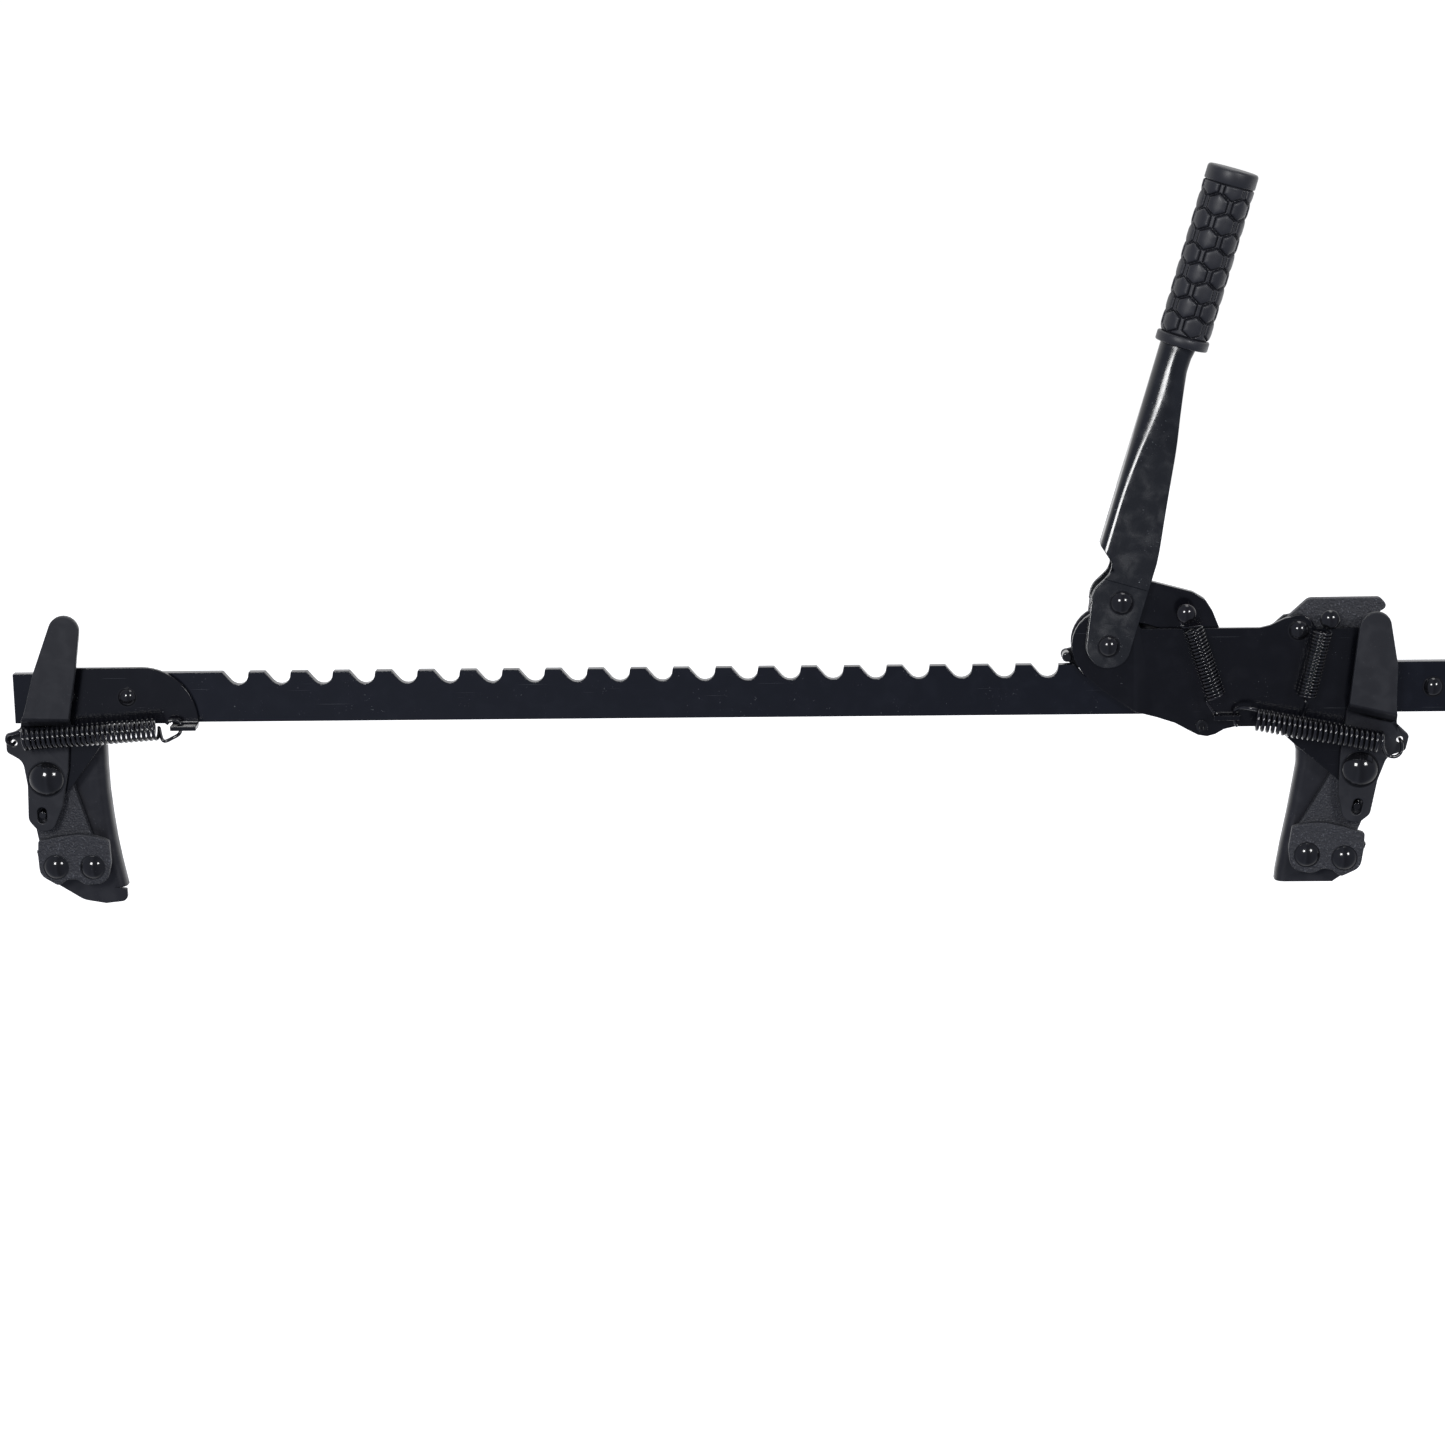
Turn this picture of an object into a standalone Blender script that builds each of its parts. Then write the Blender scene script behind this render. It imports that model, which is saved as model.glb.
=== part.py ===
"""Fence wire stretcher: a notched bar with a fixed wire grip at one end and a ratcheting carriage
that carries a second grip, a drive pawl, a holding pawl and a lever handle.

Dimensions are in millimetres and every mesh is built in metres. X runs along the bar from its
fixed end, -Y faces the user and Z is up. Heights in the dimensions are measured from the bar's
bottom edge; the model's origin is the middle of the bar's left end face.
"""

import math

import bmesh
import bpy
from mathutils import Matrix, Vector

MM = 0.001

# --- Bar -----------------------------------------------------------------------------------------
BAR_LENGTH = 920.0
BAR_HEIGHT = 32.0
BAR_HALF = 3.2                     # half the bar's thickness
NOTCH_PITCH = 26.8
NOTCH_COUNT = 27
FIRST_NOTCH = 143.6
NOTCH_DEPTH = 8.2
NOTCH_RADIUS = 6.5
TAIL_RIVET = (892.0, 16.0)

# --- Layers in depth -----------------------------------------------------------------------------
GAP = 0.3
SHEET = 3.0                        # thickness of the frame plates
PLATE_Y = BAR_HALF + GAP           # inner face of the frame plates
LEVER_Y = PLATE_Y + SHEET + GAP    # inner face of the thumb levers
LEVER_SHEET = 4.0
TAB_OFFSET = 9.2                   # how far the thumb tab stands forward of the lever
LOBE_STEP = 1.5                    # joggle that opens the carriage plates around the handle pivot
LEG_Y = PLATE_Y + SHEET + LOBE_STEP + GAP
LIP_FRONT = 8.5                    # front face of the grip blocks
ROLL_RADIUS = 6.0
ROLL_DEPTH = 11.0

# --- Wire grips, measured from the large pivot rivet ----------------------------------------------
LEFT_PIVOT = (19.6, -34.5)
RIGHT_PIVOT = (846.8, -34.6)
RIGHT_GRIP_LEAN = 13.0             # degrees the right grip stands open of the left one
RIGHT_BLOCK_LEAN = 6.0
PIVOT_SHANK = 6.0
PIVOT_HEAD = 11.2
CAM_CENTRE = 6.0                   # eccentric of the cam's gripping arc
CAM_RADIUS = 51.0
CAM_PIN = (-4.2, -23.9)
CAM_PIN_RADIUS = 2.3
BLOCK_RIVETS = ((2.3, -58.4), (25.7, -58.6))

# --- Carriage --------------------------------------------------------------------------------------
HANDLE_PIVOT = (690.2, 45.0)
LOBE_RADIUS = 22.7
HOLD_PIVOT = (808.0, 53.2)
HOLD_STUD = (826.3, 61.1)
HOLD_RIDE_ANGLE = 12.0             # degrees from the dropped pawl to the pawl riding on the teeth
TUBE_RIVET = (748.7, -7.1)
GUIDE_PIN = (664.9, 36.9)
SHELF_FRONT = -16.0                # front end of the shelves that the springs hook on
SHELF_HOLE = 1.9                   # radius of a hook hole
HOLD_SPRING_HOLE = (810.3, -3.0)
JOGGLE = (706.0, 709.0)

# --- Handle, measured from its pivot with the second number along the handle -----------------------
HANDLE_TILT = 16.2                 # degrees from upright, towards +X
CRANK = 28.5                       # pivot to drive pawl rivet
WEB_U = -22.4
GRIP_U = -9.6
GRIP_START = 190.3
LEG_TOP = GRIP_START - 0.4
GRIP_END = 301.2
GRIP_RADIUS = 15.6
TANG_RADIUS = 11.0

DRIVE_PIN = (
    HANDLE_PIVOT[0] + CRANK * math.sin(math.radians(HANDLE_TILT)),
    HANDLE_PIVOT[1] + CRANK * math.cos(math.radians(HANDLE_TILT)),
)
DRIVE_STUD = (737.7, 65.7)

ROUND = 16                         # sides of a rivet
RIVET_GAP = 0.3


def clear_scene():
    for obj in list(bpy.data.objects):
        bpy.data.objects.remove(obj, do_unlink=True)


def material(name, colour, roughness, metallic):
    mat = bpy.data.materials.new(name)
    mat.use_nodes = True
    shader = mat.node_tree.nodes["Principled BSDF"]
    shader.inputs["Base Color"].default_value = (*colour, 1.0)
    shader.inputs["Roughness"].default_value = roughness
    shader.inputs["Metallic"].default_value = metallic
    return mat


# --- Outlines ----------------------------------------------------------------------------------------
def arc(centre, radius, start, end, steps):
    """Points on a circle from the start angle to the end angle, in degrees."""
    angles = [math.radians(start + (end - start) * i / steps) for i in range(steps + 1)]
    return [(centre[0] + radius * math.cos(a), centre[1] + radius * math.sin(a)) for a in angles]


def circle(centre, radius, sides=ROUND):
    return arc(centre, radius, 0.0, 360.0, sides)[:-1]


def slot(centre, half_width, low, high, sides=10):
    """An upright slot whose centre line runs from low to high about its centre."""
    top = (centre[0], centre[1] + high)
    bottom = (centre[0], centre[1] + low)
    return arc(top, half_width, 0.0, 180.0, sides) + arc(bottom, half_width, 180.0, 360.0, sides)


def rounded(corners, steps=5):
    """The outline through the corners, each turned on the radius that its third number gives."""
    outline = []
    for i, corner in enumerate(corners):
        here = Vector(corner[:2])
        if len(corner) < 3:
            outline.append(tuple(here))
            continue
        back = Vector(corners[i - 1][:2]) - here
        ahead = Vector(corners[(i + 1) % len(corners)][:2]) - here
        half = back.angle(ahead) / 2.0
        reach = min(corner[2] / math.tan(half), 0.48 * back.length, 0.48 * ahead.length)
        radius = reach * math.tan(half)
        centre = here + (back.normalized() + ahead.normalized()).normalized() * radius / math.sin(half)
        first = here + back.normalized() * reach - centre
        last = here + ahead.normalized() * reach - centre
        turn = math.atan2(first.cross(last), first.dot(last))
        begin = math.atan2(first.y, first.x)
        for k in range(steps + 1):
            angle = begin + turn * k / steps
            outline.append((centre.x + radius * math.cos(angle), centre.y + radius * math.sin(angle)))
    return outline


def turned_about(points, degrees):
    """The points turned clockwise about the origin as the user sees them."""
    c, s = math.cos(math.radians(degrees)), math.sin(math.radians(degrees))
    return [(x * c + z * s, -x * s + z * c) for x, z in points]


def shifted(points, offset):
    return [(x + offset[0], z + offset[1]) for x, z in points]


# --- Solids ------------------------------------------------------------------------------------------
def finish(bm, name, mat, heights=True):
    """Turns millimetres into metres, with bar heights moved to the bar's middle."""
    drop = BAR_HEIGHT / 2.0 if heights else 0.0
    for vert in bm.verts:
        vert.co = Vector((vert.co.x, vert.co.y, vert.co.z - drop)) * MM
    bmesh.ops.recalc_face_normals(bm, faces=bm.faces)
    mesh = bpy.data.meshes.new(name)
    bm.to_mesh(mesh)
    bm.free()
    mesh.shade_smooth()
    mesh.set_sharp_from_angle(angle=math.radians(35.0))
    obj = bpy.data.objects.new(name, mesh)
    obj.data.materials.append(mat)
    bpy.context.scene.collection.objects.link(obj)
    return obj


def plate(name, outline, holes, y_low, y_high, mat, folds=(), shift=None, heights=True):
    """A flat blank with holes. Fold lines (point, normal) are scored first, then shift(x, z) bends it."""
    bm = bmesh.new()
    for loop in [outline] + list(holes):
        verts = [bm.verts.new((x, y_low, z)) for x, z in loop]
        for i, vert in enumerate(verts):
            bm.edges.new((verts[i - 1], vert))
    bmesh.ops.triangle_fill(bm, use_beauty=True, use_dissolve=False, edges=bm.edges[:])
    for point, normal in folds:
        bmesh.ops.bisect_plane(
            bm, geom=bm.verts[:] + bm.edges[:] + bm.faces[:], dist=1e-4,
            plane_co=(point[0], 0.0, point[1]), plane_no=(normal[0], 0.0, normal[1]))
    bmesh.ops.triangulate(bm, faces=bm.faces[:])
    raised = bmesh.ops.extrude_face_region(bm, geom=bm.faces[:])["geom"]
    for vert in [g for g in raised if isinstance(g, bmesh.types.BMVert)]:
        vert.co.y = y_high
    if shift:
        for vert in bm.verts:
            vert.co.y += shift(vert.co.x, vert.co.z)
    return finish(bm, name, mat, heights)


def turned(name, profile, place, mat, sides=ROUND, heights=True):
    """A turned solid: profile lists (radius, distance along the axis) from one pole to the other."""
    bm = bmesh.new()
    rings = []
    for radius, along_axis in profile:
        if radius == 0.0:
            rings.append([place(0.0, 0.0, along_axis)])
        else:
            rings.append([place(a, b, along_axis) for a, b in circle((0.0, 0.0), radius, sides)])
    made = [[bm.verts.new(co) for co in ring] for ring in rings]
    for low, high in zip(made, made[1:]):
        for i in range(sides):
            corners = [low[i % len(low)], low[(i + 1) % len(low)],
                       high[(i + 1) % len(high)], high[i % len(high)]]
            bm.faces.new(list(dict.fromkeys(corners)))
    return finish(bm, name, mat, heights)


def dome(radius, height, base, sign, steps=3):
    """Profile of a rivet head from its pole to its rim; sign is -1 for a head that faces the user."""
    points = []
    for i in range(steps + 1):
        angle = math.pi / 2.0 * i / steps
        points.append((radius * math.sin(angle), base + sign * height * math.cos(angle)))
    points[0] = (0.0, points[0][1])
    return points


def rivet(name, centre, shank, head, height, y_front, y_back, mat, back_head=None):
    """A rivet through its plates: domed front head on y_front, lower back head on y_back."""
    back_head = back_head or head * 0.8
    profile = dome(head, height, -y_front, -1.0) + [(shank, -y_front)]
    profile += [(shank, y_back)] + dome(back_head, height * 0.45, y_back, 1.0)[::-1]
    return turned(name, profile, lambda a, b, y: (centre[0] + a, y, centre[1] + b), mat)


def rod(name, start, end, radius, mat, sides=16):
    """A plain round sleeve between two points (x, y, height)."""
    start, end = Vector(start), Vector(end)
    axis = (end - start).normalized()
    across = axis.cross(Vector((0.0, 1.0, 0.0))).normalized()
    up = axis.cross(across)
    length = (end - start).length
    profile = [(0.0, 0.0), (radius, 0.0), (radius, length), (0.0, length)]
    return turned(name, profile, lambda a, b, t: start + axis * t + across * a + up * b, mat, sides)


def boolean(target, other, operation):
    """Cuts target with the other solid or joins it on, and keeps the other as a hidden guide."""
    modifier = target.modifiers.new(operation.lower(), "BOOLEAN")
    modifier.operation = operation
    modifier.solver = "EXACT"
    modifier.object = other
    other.hide_render = True
    other.display_type = "WIRE"


# --- Bar ----------------------------------------------------------------------------------------------
def notch(centre):
    """One ratchet notch, left to right: sloped flank, round bottom, steep flank."""
    bottom = BAR_HEIGHT - NOTCH_DEPTH + NOTCH_RADIUS
    return (
        [(centre - 10.0, BAR_HEIGHT)]
        + arc((centre, bottom), NOTCH_RADIUS, 222.0, 360.0, 8)
        + [(centre + NOTCH_RADIUS + 0.3, BAR_HEIGHT)])


def build_bar(paint):
    outline = [(0.0, 0.0), (0.0, BAR_HEIGHT)]
    for i in range(NOTCH_COUNT):
        outline += notch(FIRST_NOTCH + NOTCH_PITCH * i)
    outline += [(BAR_LENGTH, BAR_HEIGHT), (BAR_LENGTH, 0.0)]
    holes = [circle(centre, 3.5 + RIVET_GAP) for centre in (TAIL_RIVET, *FRAME_RIVETS)]
    plate("notched_bar", outline, holes, -BAR_HALF, BAR_HALF, paint)
    rivet("tail_stop_rivet", TAIL_RIVET, 3.5, 6.0, 3.8, BAR_HALF + GAP, BAR_HALF + GAP, paint)


# --- Wire grips ---------------------------------------------------------------------------------------
FRAME_RIVETS = ((73.2, 17.2), (34.0, 19.0))

LEVER = [
    (-2.4, 70.6), (-10.0, 44.0), (-11.8, 40.4), (-15.0, 33.0, 4.0), (-24.5, 27.5, 3.0), (-24.5, 17.5, 3.0),
    (-14.5, 11.5, 8.0), (-12.4, -4.4, 12.0), (-13.2, -27.0, 6.0), (-7.5, -34.2, 7.0), (2.5, -34.2, 7.0),
    (9.0, -19.0, 8.0), (14.2, 5.9, 8.0), (15.8, 24.0), (18.9, 41.5), (24.5, 72.0),
]
TAB_END_X = 18.3
TAB_END_RADIUS = 9.7
TAB_ROOT = 30.0                    # height above the pivot where a tab starts to sweep
LEFT_TAB = (97.0, 0.0)             # height of the tab's rounded end above the pivot, and its sweep
RIGHT_TAB = (91.0, 0.07)


def in_place(points, pivot, mirror, lean):
    """A grip outline given for the left grip, mirrored and leant for the right one."""
    if mirror:
        points = [(-x, z) for x, z in points]
    return shifted(turned_about(points, lean), pivot)


def build_lever(name, pivot, mirror, lean, tab, mat):
    fold_low, fold_high = 32.5, 41.0
    holes = [circle((0.0, 0.0), PIVOT_SHANK + RIVET_GAP), slot(CAM_PIN, 3.0, -2.2, 2.2),
             circle((-19.5, 23.5), 2.2, 10)]
    reach, sweep = tab
    outline = rounded(LEVER) + arc((TAB_END_X, reach), TAB_END_RADIUS, -10.0, 160.0, 12)
    outline = [(x - sweep * max(z - TAB_ROOT, 0.0), z) for x, z in outline]
    outline = in_place(outline, (0.0, 0.0), mirror, lean)
    holes = [in_place(hole, (0.0, 0.0), mirror, lean) for hole in holes]
    up = turned_about([(0.0, 1.0)], lean)[0]
    levels = [fold_low + (fold_high - fold_low) * i / 6.0 for i in range(7)]

    def step_forward(x, z):
        height = x * up[0] + z * up[1]
        share = min(max((height - fold_low) / (fold_high - fold_low), 0.0), 1.0)
        return -TAB_OFFSET * (3.0 * share ** 2 - 2.0 * share ** 3)

    lever = plate(
        name, outline, holes, -LEVER_Y - LEVER_SHEET, -LEVER_Y, mat,
        folds=[((up[0] * h, up[1] * h), up) for h in levels], shift=step_forward, heights=False)
    lever.location = Vector((pivot[0], 0.0, pivot[1] - BAR_HEIGHT / 2.0)) * MM
    return lever


def build_grip(side, pivot, mirror, lean, block_lean, tab, cast, satin, paint):
    """The moving half of a wire grip and the block that it grips against."""
    build_lever(side + "_thumb_lever", pivot, mirror, lean, tab, satin)

    start = math.degrees(math.atan2(-49.0, -8.0 - CAM_CENTRE))
    end = math.degrees(math.atan2(-46.5, 27.0 - CAM_CENTRE))
    cam = [(-12.0, 0.0), (-12.0, -25.0)]
    cam += arc((CAM_CENTRE, 0.0), CAM_RADIUS, start, end, 10)
    cam += [(23.8, -35.5), (15.0, -5.8)]
    cam += arc((0.0, 0.0), 12.5, 10.0, 165.0, 8)
    holes = [circle((0.0, 0.0), PIVOT_SHANK + RIVET_GAP), circle(CAM_PIN, CAM_PIN_RADIUS + RIVET_GAP, 12)]
    plate(side + "_cam", in_place(cam, pivot, mirror, lean),
          [in_place(hole, pivot, mirror, lean) for hole in holes], -BAR_HALF, BAR_HALF, cast)
    pin_at = in_place([CAM_PIN], pivot, mirror, lean)[0]
    profile = [(0.0, -LEVER_Y - LEVER_SHEET + 0.8), (CAM_PIN_RADIUS, -LEVER_Y - LEVER_SHEET + 0.8),
               (CAM_PIN_RADIUS, BAR_HALF - 0.2), (0.0, BAR_HALF - 0.2)]
    turned(side + "_cam_pin", profile, lambda a, b, y: (pin_at[0] + a, y, pin_at[1] + b), paint, 12)

    lip = rounded([
        (-8.6, -41.2, 2.0), (4.0, -38.6, 30.0), (17.7, -36.7, 30.0), (30.0, -38.8, 30.0), (37.0, -41.6, 2.0),
        (37.6, -56.0, 8.0), (34.5, -69.5, 8.0), (20.5, -70.5, 6.0), (15.0, -66.8, 5.0), (9.0, -66.8, 5.0),
        (3.0, -71.0, 3.0), (-8.6, -64.0, 8.0), (-9.2, -52.0)], 4)
    anvil_arc = arc((CAM_CENTRE, 0.0), CAM_RADIUS + 0.6, -109.0, -58.0, 10)
    anvil = anvil_arc + [(33.0, -66.0), (5.0, -67.0), (-7.0, -60.0)]
    rivet_holes = [circle(centre, 4.0 + RIVET_GAP) for centre in BLOCK_RIVETS]
    rivet_holes = [in_place(hole, pivot, mirror, block_lean) for hole in rivet_holes]
    block = plate(side + "_grip_block", in_place(lip, pivot, mirror, block_lean), rivet_holes,
                  -LIP_FRONT, -PLATE_Y, cast)
    inner = plate(side + "_anvil_guide", in_place(anvil, pivot, mirror, block_lean), rivet_holes,
                  -PLATE_Y - 1.0, BAR_HALF, cast)
    boolean(block, inner, "UNION")
    for number, centre in enumerate(in_place(list(BLOCK_RIVETS), pivot, mirror, block_lean), 1):
        rivet(f"{side}_block_rivet_{number}", centre, 4.0, 7.4, 3.6, LIP_FRONT + GAP,
              PLATE_Y + SHEET + GAP, paint)
    rivet(side + "_pivot_rivet", pivot, PIVOT_SHANK, PIVOT_HEAD, 6.0, LEVER_Y + LEVER_SHEET + GAP,
          PLATE_Y + SHEET + GAP, paint, back_head=9.0)
    return rivet_holes


def rolled_edge(name, levels, mirror, mat):
    """The edge of a back plate rolled away from the user. Levels list (x of the outer face, height)."""
    side = -1.0 if mirror else 1.0
    bm = bmesh.new()
    rings = []
    for x, z in levels:
        outer = arc((x - side * ROLL_RADIUS, PLATE_Y + ROLL_RADIUS), ROLL_RADIUS, -90.0, 0.0, 5)
        inner = arc((x - side * ROLL_RADIUS, PLATE_Y + ROLL_RADIUS), ROLL_RADIUS - SHEET, 0.0, -90.0, 5)
        if mirror:
            centre = x + ROLL_RADIUS
            outer = [(2.0 * centre - px, py) for px, py in outer]
            inner = [(2.0 * centre - px, py) for px, py in inner]
        root = x - side * (ROLL_RADIUS + 2.0)
        ring = [(root, PLATE_Y)] + outer
        ring += [(x, PLATE_Y + ROLL_DEPTH), (x - side * SHEET, PLATE_Y + ROLL_DEPTH)]
        ring += inner + [(root, PLATE_Y + SHEET)]
        rings.append([bm.verts.new((px, py, z)) for px, py in ring])
    for low, high in zip(rings, rings[1:]):
        for i in range(len(low)):
            bm.faces.new((low[i - 1], low[i], high[i], high[i - 1]))
    bm.faces.new(rings[0])
    bm.faces.new(rings[-1])
    return finish(bm, name, mat)


def spring_shelf(target, span, top, hooks, name, mat):
    """Joins a shelf, bent forward from the front plate, and pierces it for each spring hook."""
    bend = 4.0
    elbow = (-PLATE_Y - bend, top - SHEET + bend)
    profile = arc(elbow, bend, 0.0, -90.0, 5) + [(SHELF_FRONT, top - SHEET), (SHELF_FRONT, top)]
    profile += arc(elbow, bend - SHEET, -90.0, 0.0, 3)
    profile += [(elbow[0] + bend - SHEET, elbow[1] + 2.0), (elbow[0] + bend, elbow[1] + 2.0)]
    bm = bmesh.new()
    ends = [[bm.verts.new((x, y, z)) for y, z in profile] for x in span]
    for i in range(len(profile)):
        bm.faces.new((ends[0][i - 1], ends[0][i], ends[1][i], ends[1][i - 1]))
    for end in ends:
        bm.faces.new(end)
    boolean(target, finish(bm, name + "_shelf_guide", mat), "UNION")
    for number, x in enumerate(hooks, 1):
        low, high = (x, -12.2, top - SHEET - 3.0), (x, -12.2, top + 3.0)
        boolean(target, rod(f"{name}_hook_guide_{number}", low, high, SHELF_HOLE, mat, 12), "DIFFERENCE")


def build_left_frame(paint, holes):
    pivot_hole = circle(LEFT_PIVOT, PIVOT_SHANK + RIVET_GAP)
    frame_holes = [circle(centre, 3.5 + RIVET_GAP) for centre in FRAME_RIVETS]
    front = rounded([
        (26.0, 36.2, 3.0), *arc((82.4, 1.0), 35.2, 90.0, 0.0, 14), (101.2, 1.6), (100.0, 0.0),
        (65.0, 0.0), (50.6, -19.7), (35.6, -39.5), (28.0, -48.0, 8.0), (10.0, -47.0, 8.0), (6.5, -34.0, 8.0),
        (10.0, -10.0)])
    front_plate = plate("left_front_plate", front, [pivot_hole, *frame_holes],
                        -PLATE_Y - SHEET, -PLATE_Y, paint)
    spring_shelf(front_plate, (101.2, 117.6), 0.2, [107.5], "left", paint)
    edge = [(55.0, -14.0), (54.8, -30.3), (55.2, -47.0), (56.6, -63.9), (58.3, -79.1), (60.4, -92.3),
            (63.0, -106.0), (63.8, -110.0)]
    back = [(14.0, 28.0), (100.0, 28.0), (100.0, 3.0), (62.0, -2.0)]
    back += [(x - ROLL_RADIUS, z) for x, z in edge]
    back += rounded([(64.0, -110.6), (64.4, -118.8, 6.5), (50.0, -120.4, 5.0), (36.0, -118.0, 14.0),
                     (20.0, -108.0), (12.0, -100.0), (11.4, -72.0), (7.0, -45.0), (7.0, -30.0),
                     (14.0, -5.0)])
    back_plate = plate("left_back_plate", back, [pivot_hole, *frame_holes, *holes],
                       PLATE_Y, PLATE_Y + SHEET, paint)
    boolean(back_plate, rolled_edge("left_roll_guide", edge, False, paint), "UNION")
    for number, centre in enumerate(FRAME_RIVETS, 1):
        rivet(f"left_frame_rivet_{number}", centre, 3.5, 5.7, 3.6, PLATE_Y + SHEET + GAP,
              PLATE_Y + SHEET + GAP, paint)


# --- Carriage -----------------------------------------------------------------------------------------
def carriage_outline(front):
    """Front or back carriage plate: handle lobe, belly under the bar, tail behind the right grip."""
    lobe = arc(HANDLE_PIVOT, LOBE_RADIUS, 212.0 if front else 190.0, 26.0 if front else 45.0, 16)
    belly = [(708.0, 1.8), (720.8, -1.5), (732.0, -5.2), (740.1, -9.7), (746.4, -13.0), (752.0, -13.9),
             (757.0, -12.6), (762.5, -9.4), (769.3, -7.8), (794.0, -7.8)]
    left = [(674.7, 27.0), (687.1, 16.0)]
    hump = [] if front else [(722.0, 60.6), (733.0, 55.0), (744.0, 50.0)]
    top = hump + [(784.0, 54.9 if front else 50.0), (790.0, 56.3 if front else 52.5), (799.3, 60.8)]
    top += arc(HOLD_PIVOT, 9.6, 120.0, 20.0, 6)
    top += [(819.0, 54.5), (852.0, 54.5), (858.0, 50.0)]
    if front:
        ear = [(858.0, 0.0), (859.5, -20.0), (859.0, -38.0), (854.0, -46.5), (845.0, -48.5), (837.0, -45.5),
               (830.5, -39.5), (824.0, -34.0), (807.0, -20.0)]
        return lobe + top + ear + belly[::-1] + left[::-1]
    edge = [(x + ROLL_RADIUS, z) for x, z in RIGHT_EDGE]
    leg = [(858.0, 0.0), (859.0, -30.0), (853.0, -46.0), (847.5, -60.0), (845.0, -98.0), (839.0, -106.5),
           (832.5, -111.0)]
    nose = arc(GUIDE_PIN, 3.6, 240.0, 120.0, 6)
    return lobe + top + leg + edge[::-1] + belly[::-1] + left[::-1] + nose


RIGHT_EDGE = [(806.6, -18.0), (809.2, -27.0), (809.3, -35.1), (806.7, -51.3), (803.8, -68.1),
              (800.1, -87.0), (797.2, -104.0), (796.6, -111.0)]


def open_lobe(direction):
    """The joggle that steps the handle lobe outwards, away from the bar."""
    def shift(x, z):
        share = min(max((JOGGLE[1] - x) / (JOGGLE[1] - JOGGLE[0]), 0.0), 1.0)
        return direction * LOBE_STEP * share
    return shift


def build_carriage(paint, holes):
    folds = [((x, 0.0), (1.0, 0.0)) for x in JOGGLE]
    shared = [circle(HANDLE_PIVOT, 5.0 + RIVET_GAP), circle(HOLD_PIVOT, 4.0 + RIVET_GAP),
              circle(TUBE_RIVET, 3.2 + RIVET_GAP), circle(RIGHT_PIVOT, PIVOT_SHANK + RIVET_GAP)]
    front = plate("carriage_front_plate", carriage_outline(True),
                  shared + [circle(HOLD_SPRING_HOLE, 2.0, 12)],
                  -PLATE_Y - SHEET, -PLATE_Y, paint, folds, open_lobe(-1.0))
    spring_shelf(front, (755.3, 771.6), 1.3, [758.9, 768.2], "carriage", paint)
    back = plate("carriage_back_plate", carriage_outline(False),
                 shared + [circle(GUIDE_PIN, 1.8 + RIVET_GAP, 12), *holes],
                 PLATE_Y, PLATE_Y + SHEET, paint, folds, open_lobe(1.0))
    boolean(back, rolled_edge("right_roll_guide", RIGHT_EDGE, True, paint), "UNION")

    outer = PLATE_Y + SHEET + GAP
    lobe_face = outer + LOBE_STEP
    rivet("handle_pivot_rivet", HANDLE_PIVOT, 5.0, 6.4, 3.8, LEG_Y + SHEET + GAP, LEG_Y + SHEET + GAP, paint)
    rivet("holding_pawl_rivet", HOLD_PIVOT, 4.0, 6.2, 3.8, outer, outer, paint)
    inner_face = PLATE_Y + LOBE_STEP - GAP
    pin = [(0.0, -4.4), (2.4, -4.4), (3.2, -3.6), (3.2, inner_face), (1.8, inner_face), (1.8, lobe_face),
           (3.0, lobe_face), (3.0, lobe_face + 1.2), (0.0, lobe_face + 1.2)]
    turned("bar_guide_pin", pin, lambda a, b, y: (GUIDE_PIN[0] + a, y, GUIDE_PIN[1] + b), paint, 16)
    tube = [(0.0, -outer + 2.0), (2.1, -outer + 2.0), (2.1, -outer - 0.6), (3.9, -outer - 0.2), (3.9, -outer),
            (3.2, -outer), (3.2, outer), (3.9, outer), (3.9, outer + 0.6), (0.0, outer + 0.6)]
    turned("tubular_rivet", tube, lambda a, b, y: (TUBE_RIVET[0] + a, y, TUBE_RIVET[1] + b), paint, 16)
    plate("spacer_sleeve", circle(TUBE_RIVET, 5.6), [circle(TUBE_RIVET, 3.2 + RIVET_GAP)],
          -BAR_HALF, BAR_HALF, paint)


def build_holding_pawl(cast, paint):
    """The pawl that stops the carriage running back; it rides just above the teeth."""
    toe = [(-3.0, BAR_HEIGHT - 6.4), (2.0, BAR_HEIGHT - 6.4), (5.1, BAR_HEIGHT - 1.8)]
    notch_x = FIRST_NOTCH + NOTCH_PITCH * (NOTCH_COUNT - 1)
    dropped = [(notch_x + x - HOLD_PIVOT[0], z - HOLD_PIVOT[1]) for x, z in toe]
    toe_left, toe_right, toe_side = shifted(turned_about(dropped, -HOLD_RIDE_ANGLE), HOLD_PIVOT)
    outline = rounded([
        (814.0, 72.4, 6.0), (858.0, 72.6, 4.0), (863.5, 67.0, 3.0), (856.0, 62.6, 2.0),
        (851.5, 52.0, 5.0), toe_side, toe_right, toe_left, (832.0, 41.5, 6.0), (814.0, 43.5, 6.0),
        (799.5, 46.0, 7.0), (795.8, 55.6, 3.0)], 4)
    holes = [circle(HOLD_PIVOT, 4.0 + RIVET_GAP), circle(HOLD_STUD, 2.5 + RIVET_GAP, 12)]
    plate("holding_pawl", outline, holes, -3.0, 3.0, cast)
    stud("holding_pawl_stud", HOLD_STUD, 6.2, paint)


def stud(name, centre, head, mat):
    """A headed stud in a pawl that its spring hooks on; it is flush at the back."""
    profile = dome(head, 3.6, -14.2, -1.0) + [(2.5, -14.2), (2.5, BAR_HALF), (0.0, BAR_HALF)]
    turned(name, profile, lambda a, b, y: (centre[0] + a, y, centre[1] + b), mat, 16)


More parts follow.
